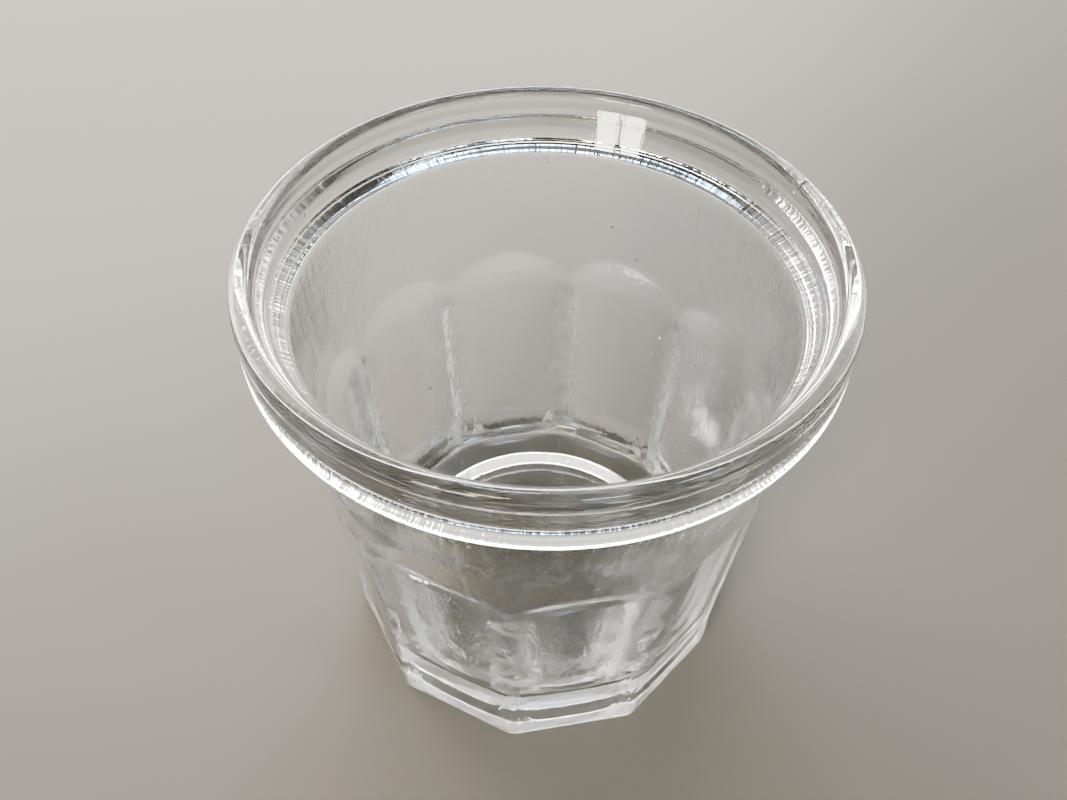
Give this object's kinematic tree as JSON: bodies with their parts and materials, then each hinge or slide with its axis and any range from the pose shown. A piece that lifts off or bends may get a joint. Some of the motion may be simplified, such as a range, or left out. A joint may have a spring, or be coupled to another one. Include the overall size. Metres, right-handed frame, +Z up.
{
  "type": "glass jam jar",
  "caption": "Open pressed-glass jam jar: round mouth with a double-bead collar, body with flat arched panels, polygonal foot.",
  "frame": {"origin": "centre of the flat ring the jar stands on, on the jar's own axis at the height of the table", "axes": "+Z up along the jar's axis of symmetry; one flat panel is centred on -Y and one on +Y; +X and -X run through panel ridges"},
  "size_m": [0.1, 0.1, 0.0934],
  "materials": {
    "glass": "clear, fire-polished, with faint press ripple"
  },
  "bodies": {
    "root": {"glass_body": "glass"}
  },
  "joints": []
}
